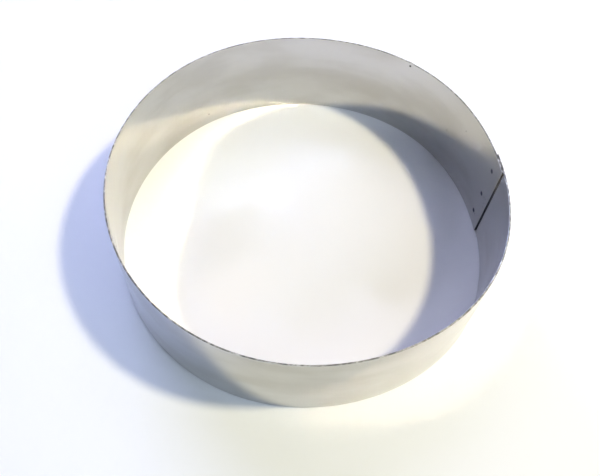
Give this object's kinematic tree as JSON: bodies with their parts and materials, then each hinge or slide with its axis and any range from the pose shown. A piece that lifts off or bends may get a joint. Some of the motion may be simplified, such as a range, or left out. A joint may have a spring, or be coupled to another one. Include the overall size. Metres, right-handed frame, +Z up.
{
  "type": "round cutting ring",
  "caption": "Plain round ring of satin stainless sheet, open at top and bottom, with a lapped and spot-welded seam, for cutting out dough or moulding layered desserts.",
  "frame": {"origin": "middle of the ring at its lower edge", "axes": "+Z up along the ring's axis, +X through the middle of the lapped seam"},
  "size_m": [0.2218, 0.2213, 0.06],
  "materials": {
    "stainless_sheet": "satin mill-finish stainless steel, rolled along the strip",
    "weld_metal": "grey, heat-marked and dished by the electrodes"
  },
  "bodies": {
    "root": {"band": "stainless_sheet", "spot_weld_lower": "weld_metal", "spot_weld_middle": "weld_metal", "spot_weld_upper": "weld_metal"}
  },
  "joints": []
}
